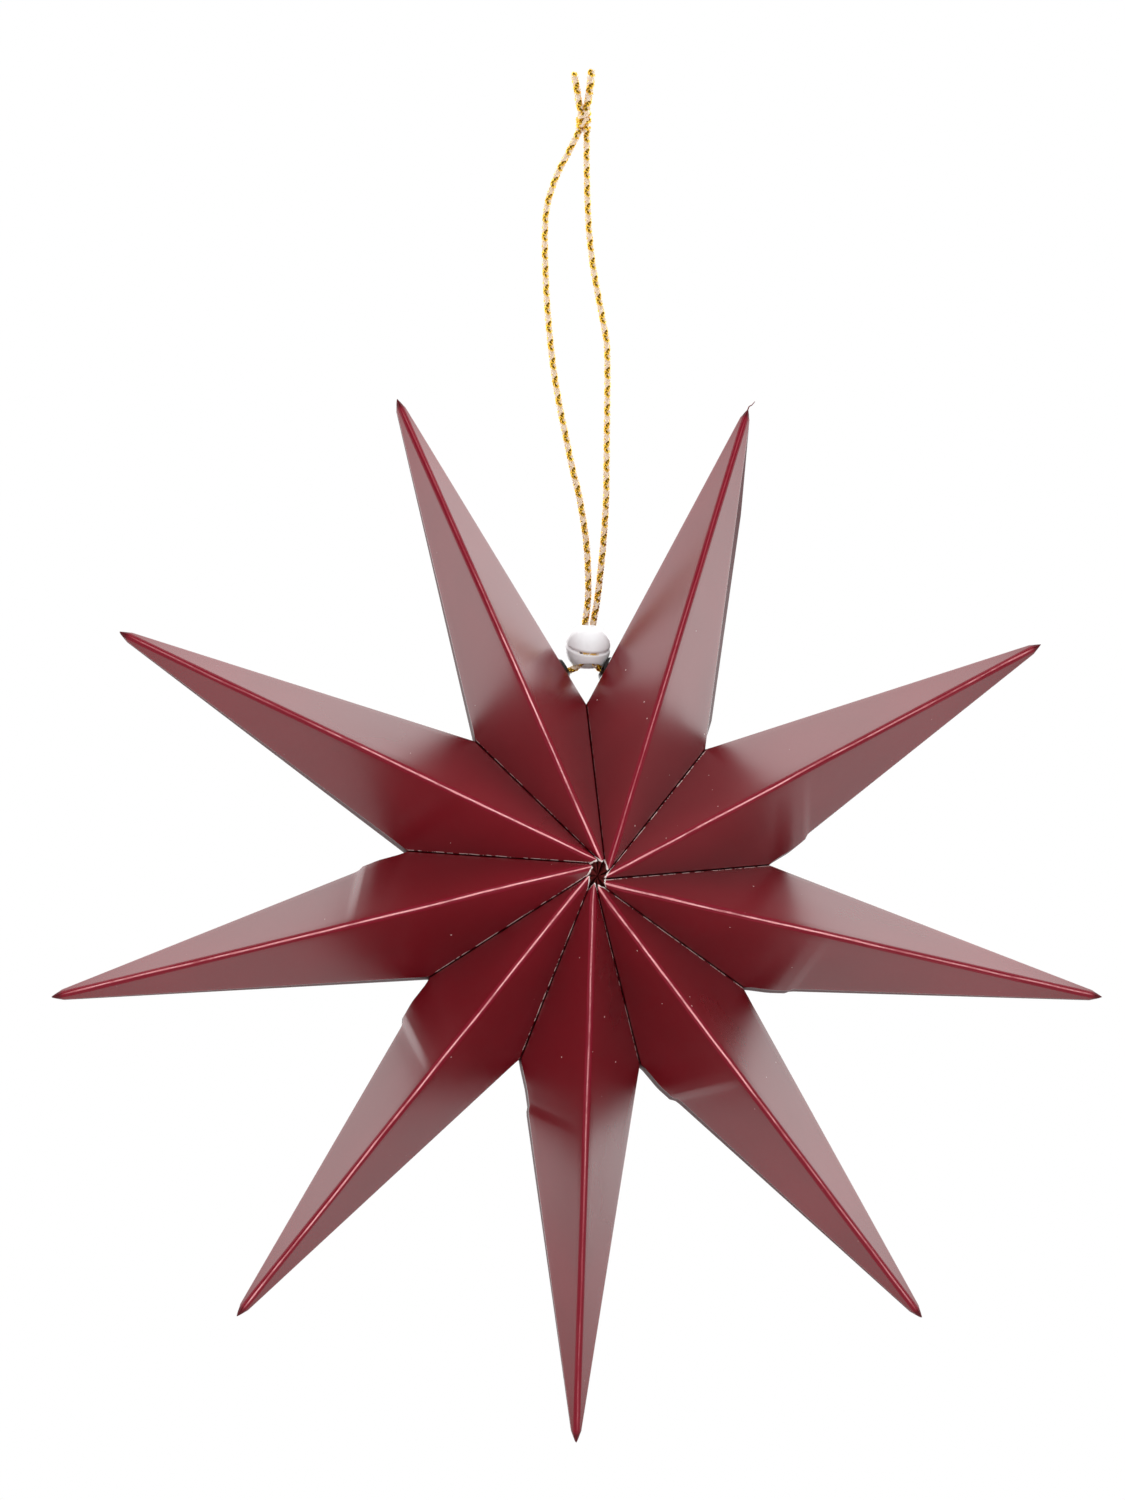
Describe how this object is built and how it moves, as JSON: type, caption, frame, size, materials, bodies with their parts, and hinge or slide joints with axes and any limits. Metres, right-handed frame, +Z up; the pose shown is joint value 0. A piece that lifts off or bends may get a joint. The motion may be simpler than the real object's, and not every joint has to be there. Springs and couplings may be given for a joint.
{
  "type": "paper christmas star",
  "caption": "Hanging star of hollow folded card points glued side by side round a small hole, with a cord loop through metal eyelets and a bead.",
  "frame": {"origin": "the hanging mount: the top of the cord loop, just under the knot, where a hook or nail takes it", "axes": "+Z up as it hangs, -Y towards the front face, +X to the right as seen from the front"},
  "size_m": [0.1942, 0.0656, 0.2589],
  "materials": {
    "card": "semi-gloss coated burgundy card",
    "eyelet": "gloss black",
    "bead": "gloss white",
    "cord": "braided gold metallic thread"
  },
  "bodies": {
    "root": {"point_1": "card", "point_2": "card", "point_3": "card", "point_4": "card", "point_5": "card", "point_6": "card", "point_7": "card", "point_8": "card", "point_9": "card", "eyelet_left": "eyelet", "eyelet_right": "eyelet", "bead": "bead", "cord_left": "cord", "cord_right": "cord", "stop_knot_left": "cord", "stop_knot_right": "cord", "top_knot": "cord"}
  },
  "joints": []
}
